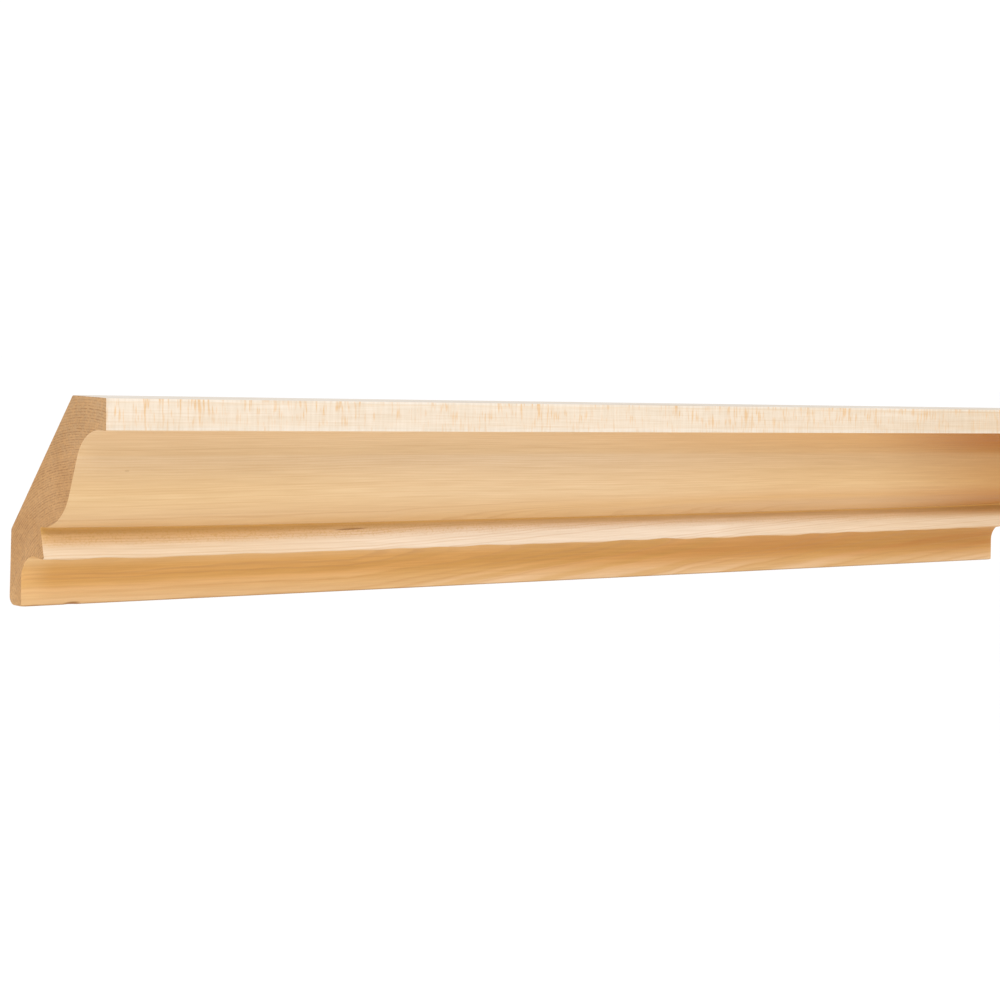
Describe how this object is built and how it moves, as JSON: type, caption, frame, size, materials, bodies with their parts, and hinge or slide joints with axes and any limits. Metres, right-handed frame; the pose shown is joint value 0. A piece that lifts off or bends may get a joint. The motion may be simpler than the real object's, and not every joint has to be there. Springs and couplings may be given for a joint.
{
  "type": "crown moulding",
  "caption": "Straight length of hardwood crown moulding with a top fillet, cove, rounded nose, stepped fillet and flat foot, for the corner of a wall and a ceiling.",
  "frame": {"origin": "on the flat wall face, half-way along the moulding and half-way up that face", "axes": "+X along the moulding, +Y out of the wall face into the wall, +Z out of the ceiling face into the ceiling, so the moulded front faces -Y"},
  "size_m": [0.467, 0.0512, 0.0648],
  "materials": {
    "maple": "clear satin finish on pale maple, bare sawn end grain"
  },
  "bodies": {
    "root": {"crown_moulding": "maple"}
  },
  "joints": []
}
